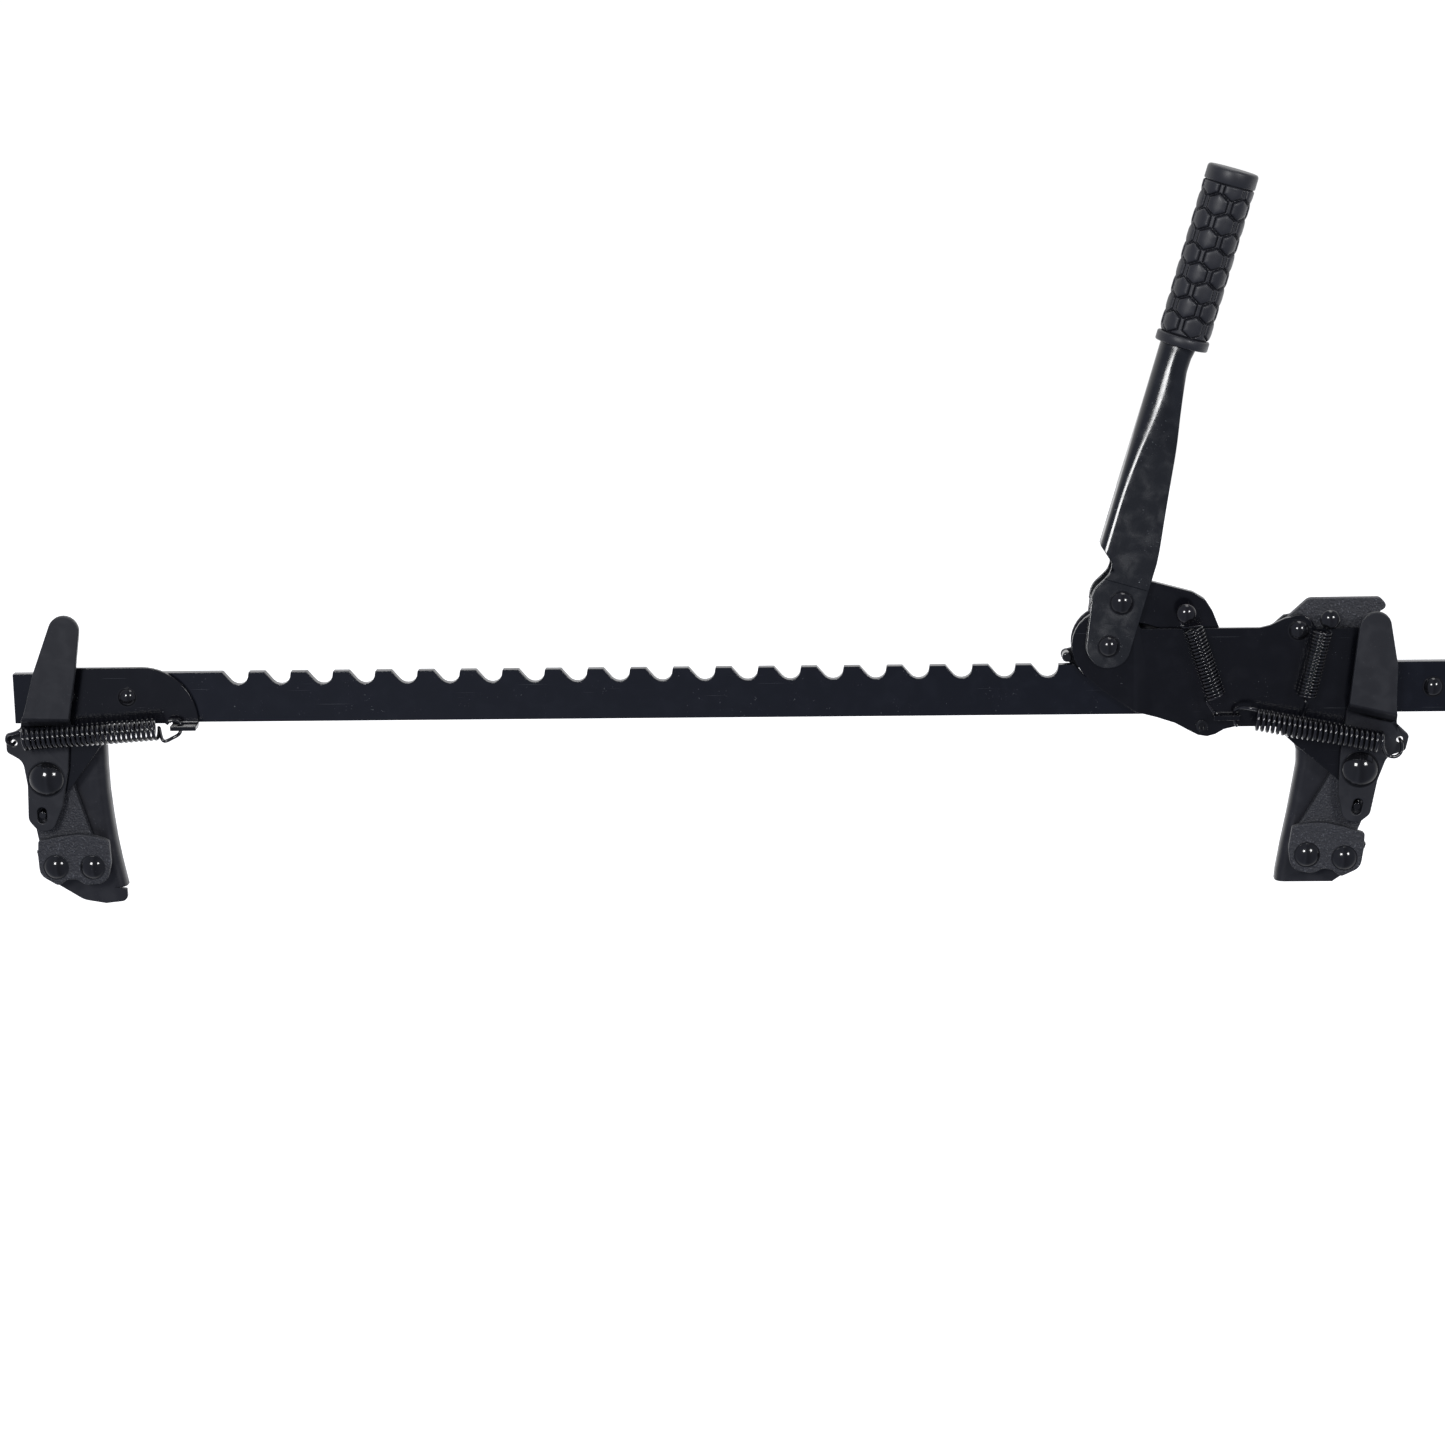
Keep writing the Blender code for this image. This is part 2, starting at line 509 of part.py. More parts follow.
def build_drive_pawl(paint):
    """The pawl that the handle pushes; its tall slot takes up the rise and fall of the handle's rivet."""
    toe_x = FIRST_NOTCH + NOTCH_PITCH * 23 + 5.0
    outline = rounded([
        (687.6, 64.0, 5.0), (687.6, 82.0, 8.0), (700.0, 88.0, 12.0), (717.3, 84.0, 30.0), (742.7, 77.2, 10.0),
        (750.0, 72.8, 8.0), (755.0, 65.0, 12.0), (762.6, 46.0, 12.0), (toe_x + 3.0, BAR_HEIGHT + 0.6),
        (toe_x - 3.0, BAR_HEIGHT + 0.6), (755.0, 41.0, 8.0), (738.0, 49.0, 14.0), (714.0, 57.0, 12.0),
        (702.0, 59.0, 6.0)], 4)
    plate("drive_pawl", outline, [slot(DRIVE_PIN, 5.0, -4.4, 1.8), circle(DRIVE_STUD, 2.5 + RIVET_GAP, 12)],
          -3.0, 3.0, paint)
    stud("drive_pawl_stud", DRIVE_STUD, 6.1, paint)


# --- Handle -------------------------------------------------------------------------------------------
def build_handle(paint, rubber):
    pivot = bpy.data.objects.new("handle_pivot", None)
    pivot.location = Vector((HANDLE_PIVOT[0], 0.0, HANDLE_PIVOT[1] - BAR_HEIGHT / 2.0)) * MM
    pivot.rotation_euler = (0.0, math.radians(HANDLE_TILT), 0.0)
    bpy.context.scene.collection.objects.link(pivot)

    leg = rounded([
        (WEB_U, LEG_TOP), (0.0, LEG_TOP), (0.2, 170.0, 60.0), (2.6, 149.0, 60.0), (10.4, 85.0, 40.0),
        (13.9, 62.0, 40.0), (13.9, 10.0)], 4)
    leg += arc((0.0, 0.0), 14.0, 0.0, -180.0, 12)
    leg += rounded([(-17.2, 16.0, 20.0), (-19.8, 30.5, 14.0), (-9.8, 48.0, 12.0),
                    (WEB_U + 0.4, 58.8, 1.5)], 5)
    outer_y, inner_y = LEG_Y + SHEET, LEG_Y
    pivot_hole = circle((0.0, 0.0), 5.0 + RIVET_GAP)
    pin_hole = circle((0.0, CRANK), 4.0 + RIVET_GAP)
    channel = plate("handle_channel", leg, [pivot_hole, pin_hole], -outer_y, outer_y, paint, heights=False)
    hollow = [(WEB_U + SHEET, LEG_TOP + 10.0), (WEB_U + SHEET, 57.0), (-30.0, 57.0), (-30.0, -30.0),
              (30.0, -30.0), (30.0, LEG_TOP + 10.0)]
    cavity = plate("handle_hollow_guide", hollow, [], -inner_y, inner_y, paint, heights=False)

    def on_grip_axis(a, b, along):
        return (GRIP_U + a, b, along)

    tang_profile = [(0.0, LEG_TOP - 4.0), (TANG_RADIUS, LEG_TOP - 4.0), (TANG_RADIUS, GRIP_END - 9.0),
                    (0.0, GRIP_END - 9.0)]
    tang = turned("handle_tang_guide", tang_profile, on_grip_axis, paint, heights=False)
    boolean(channel, cavity, "DIFFERENCE")
    boolean(channel, tang, "UNION")

    bore = TANG_RADIUS + GAP
    sleeve = [(0.0, GRIP_END), (GRIP_RADIUS - 1.6, GRIP_END), (GRIP_RADIUS, GRIP_END - 1.6),
              (GRIP_RADIUS, GRIP_START + 6.6), (GRIP_RADIUS + 0.8, GRIP_START + 5.6),
              (GRIP_RADIUS + 0.8, GRIP_START), (bore, GRIP_START)]
    sleeve = [(r, z) for r, z in sleeve] + [(bore, GRIP_END - 8.0), (0.0, GRIP_END - 8.0)]
    grip = turned("rubber_grip", sleeve, on_grip_axis, rubber, 32, heights=False)

    head_face = outer_y + GAP
    profile = dome(7.0, 3.8, -head_face, -1.0) + [(4.0, -head_face), (4.0, head_face)]
    profile += dome(5.8, 1.8, head_face, 1.0)[::-1]
    pin = turned("handle_pawl_rivet", profile, lambda a, b, y: (a, y, CRANK + b), paint, heights=False)
    for obj in (channel, cavity, tang, grip, pin):
        obj.parent = pivot


def build_springs(steel):
    """Plain sleeves with the outer size of each spring's coil."""
    rod("left_grip_spring", (8.8, -19.0, -6.9), (93.8, -19.0, -0.9), 7.2, steel)
    rod("right_grip_spring", (781.0, -19.0, -0.4), (858.3, -19.0, -15.5), 7.2, steel)
    rod("drive_pawl_spring", (742.2, -13.6, 56.0), (756.8, -13.6, 12.6), 6.4, steel)
    rod("holding_pawl_spring", (821.9, -13.6, 53.4), (812.3, -13.6, 12.4), 6.4, steel)


def hang(empty_name, point, names):
    """Parents finished pieces to an empty on their joint's axis and leaves them where they are."""
    empty = bpy.data.objects.new(empty_name, None)
    empty.location = Vector((point[0], 0.0, point[1] - BAR_HEIGHT / 2.0)) * MM
    bpy.context.scene.collection.objects.link(empty)
    for name in names:
        piece = bpy.data.objects[name]
        piece.parent = empty
        piece.matrix_parent_inverse = Matrix.Translation(-empty.location)


def main():
    clear_scene()
    paint = material("gloss_black_paint", (0.012, 0.012, 0.014), 0.22, 0.0)
    satin = material("satin_black_paint", (0.03, 0.03, 0.034), 0.45, 0.0)
    cast = material("cast_black_iron", (0.02, 0.02, 0.022), 0.6, 0.3)
    steel = material("spring_steel", (0.03, 0.03, 0.032), 0.3, 0.8)
    rubber = material("black_rubber", (0.018, 0.018, 0.02), 0.7, 0.0)

    build_bar(paint)
    left_holes = build_grip("left", LEFT_PIVOT, False, 0.0, 0.0, LEFT_TAB, cast, satin, paint)
    right_holes = build_grip("right", RIGHT_PIVOT, True, RIGHT_GRIP_LEAN, RIGHT_BLOCK_LEAN,
                             RIGHT_TAB, cast, satin, paint)
    build_left_frame(paint, left_holes)
    build_carriage(paint, right_holes)
    build_holding_pawl(cast, paint)
    build_drive_pawl(paint)
    build_handle(paint, rubber)
    build_springs(steel)
    hang("left_grip_pivot", LEFT_PIVOT, ["left_thumb_lever", "left_cam", "left_cam_pin"])
    hang("right_grip_pivot", RIGHT_PIVOT, ["right_thumb_lever", "right_cam", "right_cam_pin"])
    hang("holding_pawl_pivot", HOLD_PIVOT, ["holding_pawl", "holding_pawl_stud"])
    hang("drive_pawl_slider", DRIVE_PIN, ["drive_pawl", "drive_pawl_stud"])
    hang("carriage", (HANDLE_PIVOT[0], BAR_HEIGHT / 2.0), [
        "carriage_front_plate", "carriage_back_plate", "handle_pivot_rivet", "holding_pawl_rivet",
        "bar_guide_pin", "tubular_rivet", "spacer_sleeve", "right_grip_block", "right_block_rivet_1",
        "right_block_rivet_2", "right_pivot_rivet"])


main()
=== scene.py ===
import math

import bmesh
import bpy
from mathutils import Matrix, Vector

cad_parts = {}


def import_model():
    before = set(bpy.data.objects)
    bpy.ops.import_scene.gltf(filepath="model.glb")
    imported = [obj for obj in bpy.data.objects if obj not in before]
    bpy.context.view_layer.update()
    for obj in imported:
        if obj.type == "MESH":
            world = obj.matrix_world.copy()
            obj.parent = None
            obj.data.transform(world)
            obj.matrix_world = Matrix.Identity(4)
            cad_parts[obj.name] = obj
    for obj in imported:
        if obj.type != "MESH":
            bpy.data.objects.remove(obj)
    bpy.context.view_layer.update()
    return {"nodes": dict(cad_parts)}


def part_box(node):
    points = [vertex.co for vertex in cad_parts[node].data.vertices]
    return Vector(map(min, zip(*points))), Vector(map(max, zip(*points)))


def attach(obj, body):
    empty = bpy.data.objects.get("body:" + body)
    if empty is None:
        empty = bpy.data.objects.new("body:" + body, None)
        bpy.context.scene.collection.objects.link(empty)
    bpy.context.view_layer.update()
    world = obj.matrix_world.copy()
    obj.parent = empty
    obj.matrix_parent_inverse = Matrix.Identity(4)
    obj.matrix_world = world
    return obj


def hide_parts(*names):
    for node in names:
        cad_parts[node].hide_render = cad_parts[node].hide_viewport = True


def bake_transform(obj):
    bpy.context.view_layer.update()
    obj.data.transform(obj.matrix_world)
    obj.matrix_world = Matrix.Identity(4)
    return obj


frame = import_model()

MM = 0.001
BAR_MIDDLE = 16.0                  # height of the frame's origin above the bar's bottom edge

# Places shared with the CAD model, in millimetres; heights are above the bar's bottom edge.
HANDLE_PIVOT = (690.2, 45.0)
HANDLE_TILT = math.radians(16.2)
LEG_OUTER = 11.3                   # half depth of the handle's channel over its legs, and between them
LEG_INNER = 8.3
WEB_U = -22.4                      # the back of the channel's web, across the handle
LOFT_START = 40.0                  # along the handle: the CAD legs end and the smooth shaft begins
WEB_FOOT = 58.8
LOFT_END = 189.9
GRIP_U = -9.6                      # middle of the grip across the handle
GRIP_START = 190.3
GRIP_END = 301.2

# Grip relief, in millimetres: columns of hexagonal pads round a cylinder, every second one half a pitch up.
PAD_COLUMNS = 12
PAD_PITCH = 21.42
PAD_HALF = 5.95
PAD_BULGE = 0.95
GROOVE_DEPTH = 1.15
GROOVE_WIDTH = 0.36
GRIP_RADIUS = 15.05

# Joining and merging distances of the mesh tools, in metres and degrees.
WELD = 2e-6
FLAT = math.radians(0.6)

# Rivets: height of the front head, height of the back head, back head's share of the front one's radius.
LARGE_RIVET = (6.0, 2.7, 0.8)
SMALL_RIVET = (3.6, 1.6, 0.8)
PIVOT_RIVET = (3.8, 1.7, 0.8)
PAWL_RIVET = (3.8, 1.8, 0.83)
STUD = (3.6, 0.0, 0.0)             # flush at the back

# Springs: outer radius of the coil and thickness of the wire.
LARGE_SPRING = (7.3, 2.3)
DRIVE_SPRING = (6.4, 1.35)
HOLDING_SPRING = (6.4, 1.3)


def world(x, y, h):
    return Vector((x * MM, y * MM, (h - BAR_MIDDLE) * MM))


def handle_place(u, y, s):
    """A point of the handle: u across it, y in depth and s along it from its pivot."""
    x = HANDLE_PIVOT[0] + u * math.cos(HANDLE_TILT) + s * math.sin(HANDLE_TILT)
    h = HANDLE_PIVOT[1] - u * math.sin(HANDLE_TILT) + s * math.cos(HANDLE_TILT)
    return world(x, y, h)


def smooth_step(a, b, x):
    t = min(max((x - a) / (b - a), 0.0), 1.0)
    return t * t * (3.0 - 2.0 * t)


# --- Materials -------------------------------------------------------------------------------------
class Shader:
    """A Principled material with helpers that add procedural detail to it."""

    def __init__(self, name, colour, roughness, coat=0.0):
        self.mat = bpy.data.materials.new(name)
        self.mat.use_nodes = True
        self.tree = self.mat.node_tree
        self.bsdf = self.tree.nodes["Principled BSDF"]
        self.bsdf.inputs["Metallic"].default_value = 0.0
        self.bsdf.inputs["Coat Weight"].default_value = coat
        self.bsdf.inputs["Coat Roughness"].default_value = 0.08
        self.bsdf.inputs["IOR"].default_value = 1.5
        self.coords = self.new("ShaderNodeTexCoord").outputs["Object"]
        self.colour = self.rgb(colour)
        self.roughness = self.value(roughness)
        self.height = None

    def new(self, kind, **settings):
        node = self.tree.nodes.new(kind)
        for key, setting in settings.items():
            setattr(node, key, setting)
        return node

    def rgb(self, colour):
        node = self.new("ShaderNodeRGB")
        node.outputs[0].default_value = (*colour, 1.0)
        return node.outputs[0]

    def value(self, amount):
        node = self.new("ShaderNodeValue")
        node.outputs[0].default_value = amount
        return node.outputs[0]

    def math(self, operation, a, b):
        node = self.new("ShaderNodeMath", operation=operation)
        for socket, item in zip(node.inputs, (a, b)):
            if isinstance(item, (int, float)):
                socket.default_value = item
            else:
                self.tree.links.new(item, socket)
        return node.outputs[0]

    def stretched(self, scale, rotation=(0.0, 0.0, 0.0)):
        node = self.new("ShaderNodeMapping")
        node.inputs["Scale"].default_value = scale
        node.inputs["Rotation"].default_value = rotation
        self.tree.links.new(self.coords, node.inputs["Vector"])
        return node.outputs[0]

    def noise(self, scale, detail=3.0, vector=None, distortion=0.0):
        node = self.new("ShaderNodeTexNoise")
        node.inputs["Scale"].default_value = scale
        node.inputs["Detail"].default_value = detail
        node.inputs["Distortion"].default_value = distortion
        self.tree.links.new(vector or self.coords, node.inputs["Vector"])
        return node.outputs["Fac"]

    def ramp(self, fac, low, high, out_low=0.0, out_high=1.0):
        node = self.new("ShaderNodeMapRange", clamp=True)
        node.interpolation_type = "SMOOTHSTEP"
        self.tree.links.new(fac, node.inputs["Value"])
        limits = {"From Min": low, "From Max": high, "To Min": out_low, "To Max": out_high}
        for key, amount in limits.items():
            node.inputs[key].default_value = amount
        return node.outputs["Result"]

    def blend_colour(self, fac, colour):
        node = self.new("ShaderNodeMix", data_type="RGBA")
        self.tree.links.new(fac, node.inputs["Factor"])
        self.tree.links.new(self.colour, node.inputs[6])
        node.inputs[7].default_value = (*colour, 1.0)
        self.colour = node.outputs[2]

    def add_roughness(self, fac, amount):
        self.roughness = self.math("ADD", self.roughness, self.math("MULTIPLY", fac, amount))

    def add_height(self, fac, amount):
        part = self.math("MULTIPLY", fac, amount)
        self.height = part if self.height is None else self.math("ADD", self.height, part)

    def finish(self, strength=1.0):
        self.tree.links.new(self.colour, self.bsdf.inputs["Base Color"])
        self.tree.links.new(self.roughness, self.bsdf.inputs["Roughness"])
        if self.height is not None:
            bump = self.new("ShaderNodeBump")
            bump.inputs["Strength"].default_value = strength
            bump.inputs["Distance"].default_value = MM
            self.tree.links.new(self.height, bump.inputs["Height"])
            self.tree.links.new(bump.outputs["Normal"], self.bsdf.inputs["Normal"])
        return self.mat


def paint(name, colour, roughness, mottling, peel, dust, scratches, coat=0.0):
    """Sprayed black paint: orange peel, slightly dulled patches, dust and fine handling scratches."""
    s = Shader(name, colour, roughness, coat=coat)
    patches = s.ramp(s.noise(95.0, 6.0, distortion=0.4), 0.40, 0.72)
    s.add_roughness(patches, mottling)
    s.blend_colour(s.math("MULTIPLY", patches, 0.22), tuple(c * 2.0 for c in colour))
    grains = s.ramp(s.noise(760.0, 2.0), 0.68, 0.73)
    clusters = s.ramp(s.noise(70.0, 2.0), 0.52, 0.68)
    s.blend_colour(s.math("MULTIPLY", s.math("MULTIPLY", grains, clusters), dust), (0.22, 0.23, 0.24))
    for turn, spread in ((0.5, 0.75), (-0.35, 0.77), (1.3, 0.78)):
        lines = s.noise(1.0, 2.0, s.stretched((18.0, 90.0, 1500.0), (0.0, turn, 0.0)))
        cut = s.ramp(lines, spread, spread + 0.03)
        s.blend_colour(s.math("MULTIPLY", cut, scratches), (0.16, 0.17, 0.18))
    s.add_height(s.noise(420.0, 2.0), peel)
    s.add_height(s.noise(34.0, 2.0), peel * 4.0)
    return s.finish(0.5)


def make_materials():
    made = {}
    made["bar"] = paint("bar_gloss_paint", (0.0050, 0.0060, 0.0100),
                         roughness=0.16, mottling=0.06, peel=0.006, dust=0.35, scratches=0.22)
    made["plate"] = paint("plate_gloss_paint", (0.0028, 0.0030, 0.0048),
                         roughness=0.17, mottling=0.06, peel=0.008, dust=0.45, scratches=0.25)
    made["leg"] = paint("handle_gloss_paint", (0.0100, 0.0112, 0.0142),
                         roughness=0.15, mottling=0.10, peel=0.007, dust=0.8, scratches=0.6)
    made["rivet"] = paint("rivet_gloss_paint", (0.0060, 0.0060, 0.0072),
                         roughness=0.11, mottling=0.05, peel=0.004, dust=0.1, scratches=0.1, coat=0.3)
    made["satin"] = paint("lever_satin_paint", (0.0130, 0.0135, 0.0170),
                         roughness=0.40, mottling=0.10, peel=0.008, dust=0.2, scratches=0.12)
    made["guard"] = paint("guard_satin_paint", (0.0125, 0.0128, 0.0165),
                         roughness=0.32, mottling=0.10, peel=0.006, dust=0.2, scratches=0.12)

    s = Shader("cast_iron", (0.0230, 0.0240, 0.0300), 0.46)
    grain = s.noise(900.0, 4.0)
    s.add_height(grain, 0.85)
    s.add_height(s.noise(240.0, 2.0), 0.35)
    specks = s.ramp(grain, 0.60, 0.68)
    s.blend_colour(s.math("MULTIPLY", specks, 0.30), (0.22, 0.23, 0.26))
    pits = s.ramp(grain, 0.42, 0.34)
    s.blend_colour(s.math("MULTIPLY", pits, 0.6), (0.008, 0.008, 0.010))
    s.add_roughness(s.noise(200.0, 2.0), 0.10)
    made["cast"] = s.finish(0.9)

    s = Shader("spring_wire", (0.0060, 0.0060, 0.0080), 0.10, coat=0.5)
    s.add_roughness(s.ramp(s.noise(500.0, 2.0), 0.4, 0.7), 0.04)
    s.add_height(s.noise(900.0, 2.0), 0.01)
    made["spring"] = s.finish(0.4)

    s = Shader("grip_rubber", (0.0180, 0.0185, 0.0230), 0.38)
    s.blend_colour(s.ramp(s.noise(60.0, 3.0), 0.45, 0.7, 0.0, 0.35), (0.026, 0.027, 0.033))
    s.add_height(s.noise(1500.0, 2.0), 0.04)
    s.add_roughness(s.noise(120.0, 2.0), 0.10)
    made["rubber"] = s.finish(0.6)
    return made


# --- Meshes ----------------------------------------------------------------------------------------
def add_object(name, bm, mat, body, replaces=(), smooth_angle=40.0):
    mesh = bpy.data.meshes.new(name)
    bm.to_mesh(mesh)
    bm.free()
    mesh.materials.clear()
    mesh.materials.append(mat)
    mesh.shade_smooth()
    mesh.set_sharp_from_angle(angle=math.radians(smooth_angle))
    obj = bpy.data.objects.new(name, mesh)
    bpy.context.scene.collection.objects.link(obj)
    if body:
        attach(obj, body)
    if replaces:
        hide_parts(*replaces)
    return obj


def welded(node):
    """A working copy of a CAD piece with split vertices joined and flat areas merged."""
    bm = bmesh.new()
    bm.from_mesh(frame["nodes"][node].data)
    bmesh.ops.remove_doubles(bm, verts=bm.verts[:], dist=WELD)
    bmesh.ops.dissolve_limit(bm, angle_limit=FLAT, verts=bm.verts[:], edges=bm.edges[:])
    return bm


def soften(obj, width, segments=2, angle=38.0):
    """Ease the edges of the piece that are sharper than the angle; the width is in millimetres."""
    bevel = obj.modifiers.new("edge", "BEVEL")
    bevel.width = width * MM
    bevel.segments = segments
    bevel.limit_method = "ANGLE"
    bevel.angle_limit = math.radians(angle)
    bevel.harden_normals = True
    bevel.use_clamp_overlap = False


def refine(node, mat, body, width):
    """A CAD piece with eased edges and its real material."""
    obj = add_object(node + "_fine", welded(node), mat, body, [node])
    soften(obj, width)


def refine_block(node, mat, body):
    """A grip block as its front lip and its anvil, each with its own eased edges.

    Each cut lies a little to its own side of the meeting face, and its rim is then moved onto that face.
    """
    face = -3.5
    aside = 0.1
    for part, cut, ahead, width in (("lip", face - aside, True, 0.9), ("anvil", face + aside, False, 0.6)):
        bm = welded(node)
        made = bmesh.ops.bisect_plane(
            bm, geom=bm.verts[:] + bm.edges[:] + bm.faces[:], dist=1e-7, plane_co=(0.0, cut * MM, 0.0),
            plane_no=(0.0, 1.0, 0.0), clear_outer=ahead, clear_inner=not ahead)
        rim = [e for e in made["geom_cut"] if isinstance(e, bmesh.types.BMEdge)]
        bmesh.ops.triangle_fill(bm, use_beauty=True, use_dissolve=False, edges=rim)
        for vert in bm.verts:
            if abs(vert.co.y - cut * MM) < 1e-6:
                vert.co.y = face * MM
        bmesh.ops.recalc_face_normals(bm, faces=bm.faces[:])
        bmesh.ops.dissolve_limit(bm, angle_limit=FLAT, verts=bm.verts[:], edges=bm.edges[:])
        obj = add_object(f"{node}_{part}", bm, mat, body, [node])
        soften(obj, width, 3)


def lathe(name, profile, place, mat, body, replaces=(), sides=48):
    """A turned piece from its profile of radius and depth."""
    bm = bmesh.new()
    rings = []
    for radius, t in profile:
        count = 1 if radius < 1e-6 else sides
        rings.append([bm.verts.new(place(radius * math.cos(math.tau * i / sides),
                                         radius * math.sin(math.tau * i / sides), t)) for i in range(count)])
    for low, high in zip(rings, rings[1:]):
        for i in range(sides):
            corners = [low[i % len(low)], low[(i + 1) % len(low)],
                       high[(i + 1) % len(high)], high[i % len(high)]]
            bm.faces.new(list(dict.fromkeys(corners)))
    bmesh.ops.recalc_face_normals(bm, faces=bm.faces[:])
    return add_object(name, bm, mat, body, replaces)


def cap_profile(radius, height, pole, sign, steps=10):
    """A forged button head from its pole to its rim, as a spherical cap."""
    sphere = (radius * radius + height * height) / (2.0 * height)
    limit = math.asin(min(radius / sphere, 1.0))
    points = []
    for i in range(steps + 1):
        a = limit * i / steps
        points.append((sphere * math.sin(a), pole - sign * (sphere - sphere * math.cos(a))))
    return points


def rivet(node, body, heads, mats, seat=0.75, shank_share=0.62):
    """A rivet with a button head in front on a thin ring of seated paint, and a flatter head behind."""
    front_height, back_height, back_share = heads
    low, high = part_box(node)
    centre = (low + high) / 2.0
    radius = (high.x - low.x) / 2.0 / MM
    front, back = low.y / MM, high.y / MM
    shank = radius * shank_share
    rim, ring = 0.35, 0.2
    profile = cap_profile(radius, front_height - rim, front, -1.0)
    profile += [(radius, front + front_height - 0.05), (radius + seat, front + front_height),
                (radius + seat, front + front_height + ring), (shank, front + front_height + ring)]
    back_radius = radius * back_share
    if back_height:
        profile += [(shank, back - back_height), (back_radius, back - back_height)]
        profile += cap_profile(back_radius, back_height - 0.2, back, 1.0, 5)[::-1]
    else:
        profile += [(shank, back), (0.0, back)]

    def place(a, b, y):
        return Vector((centre.x + a * MM, y * MM, centre.z + b * MM))

    lathe(node + "_fine", profile, place, mats["rivet"], body, [node])


# --- Springs ---------------------------------------------------------------------------------------
def curve_through(points, steps=6):
    """A smooth line through the points."""
    pts = [points[0]] + list(points) + [points[-1]]
    line = []
    for p0, p1, p2, p3 in zip(pts, pts[1:], pts[2:], pts[3:]):
        for i in range(steps):
            t = i / steps
            line.append(0.5 * ((2.0 * p1) + (p2 - p0) * t + (2.0 * p0 - 5.0 * p1 + 4.0 * p2 - p3) * t * t
                               + (3.0 * p1 - p0 - 3.0 * p2 + p3) * t * t * t))
    line.append(points[-1])
    return line


def tube(bm, line, radius, sides):
    """A round wire along the line, closed at both ends."""
    tangent = (line[1] - line[0]).normalized()
    across = tangent.orthogonal().normalized()
    rings = []
    for i, point in enumerate(line):
        ahead = line[min(i + 1, len(line) - 1)] - line[max(i - 1, 0)]
        tangent = ahead.normalized()
        across = (across - tangent * across.dot(tangent)).normalized()
        up = tangent.cross(across)
        rings.append([bm.verts.new(point + (across * math.cos(math.tau * k / sides)
                                            + up * math.sin(math.tau * k / sides)) * radius)
                      for k in range(sides)])
    for low, high in zip(rings, rings[1:]):
        for k in range(sides):
            bm.faces.new((low[k - 1], low[k], high[k], high[k - 1]))
    bm.faces.new(rings[0])
    bm.faces.new(rings[-1])


def spring(node, start, end, gauge, turns, start_hook, end_hook, mats):
    """A tension spring between start and end, with a hook at each end given outwards from the coil."""
    coil_radius, wire = gauge
    a, b = world(*start), world(*end)
    axis = (b - a).normalized()
    across = axis.cross(Vector((0.0, 1.0, 0.0))).normalized()
    up = axis.cross(across)
    radius = (coil_radius - wire / 2.0) * MM
    per_turn = 20
    steps = int(turns * per_turn)
    helix = []
    for i in range(steps + 1):
        angle = math.tau * turns * i / steps
        helix.append(a + (b - a) * (i / steps) + (across * math.cos(angle) + up * math.sin(angle)) * radius)
    first = curve_through([world(*p) for p in start_hook[::-1]] + [helix[0]])
    last = curve_through([helix[-1]] + [world(*p) for p in end_hook])
    bm = bmesh.new()
    tube(bm, first[:-1] + helix + last[1:], wire / 2.0 * MM, 10)
    bmesh.ops.recalc_face_normals(bm, faces=bm.faces[:])
    obj = add_object(node + "_coil", bm, mats["spring"], None, [node], 60.0)
    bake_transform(obj)


def build_springs(mats):
    spring("left_grip_spring", (8.8, -19.0, -6.9), (93.8, -19.0, -0.9), LARGE_SPRING, 26.75,
           [(6.0, -19.5, -1.6), (1.3, -18.0, -3.2), (-2.2, -15.5, -4.7), (-3.6, -13.6, -8.1),
            (-2.9, -12.4, -10.6), (-0.6, -11.2, -11.6), (0.3, -8.8, -11.0), (0.1, -5.2, -11.0)],
           [(97.2, -18.6, -8.4), (103.0, -15.0, -7.2), (106.6, -12.9, -5.0), (107.5, -12.2, -1.4),
            (106.8, -12.1, 1.5), (103.6, -12.1, 3.0), (100.2, -12.3, 2.8), (98.6, -12.5, 1.0)],
           mats)
    spring("right_grip_spring", (781.0, -19.0, -0.4), (858.3, -19.0, -15.5), LARGE_SPRING, 24.25,
           [(777.6, -18.6, 6.4), (772.1, -15.8, 6.5), (768.6, -13.4, 4.4), (768.2, -12.3, 1.3),
            (768.2, -12.2, -1.0), (768.9, -12.1, -4.2), (770.4, -12.2, -6.2)],
           [(861.6, -19.4, -23.2), (866.9, -18.4, -25.1), (870.5, -16.8, -23.4), (871.8, -15.0, -20.2),
            (871.6, -12.8, -17.2), (871.2, -9.0, -16.1), (871.1, -5.2, -16.1)],
           mats)
    spring("drive_pawl_spring", (742.2, -13.6, 56.0), (756.8, -13.6, 12.6), DRIVE_SPRING, 20.75,
           [(736.8, -13.4, 57.0), (734.2, -12.8, 60.5), (734.0, -12.2, 65.0), (736.6, -11.8, 69.2),
            (740.4, -11.6, 68.6), (741.4, -11.4, 65.2)],
           [(751.2, -13.6, 10.4), (753.4, -13.3, 5.6), (755.8, -12.8, 2.6), (758.2, -12.3, 1.9),
            (758.9, -12.2, 0.0), (758.9, -12.2, -3.0)],
           mats)
    spring("holding_pawl_spring", (821.9, -13.6, 53.4), (812.3, -13.6, 12.4), HOLDING_SPRING, 19.75,
           [(825.4, -13.6, 56.4), (829.6, -12.9, 59.6), (830.0, -12.2, 63.6), (826.6, -11.8, 65.2),
            (822.9, -11.4, 62.6)],
           [(811.8, -13.2, 9.8), (813.6, -12.4, 7.0), (812.4, -10.8, 3.0), (810.8, -8.6, -1.2),
            (810.3, -6.0, -3.0), (810.1, -2.4, -3.6)],
           mats)


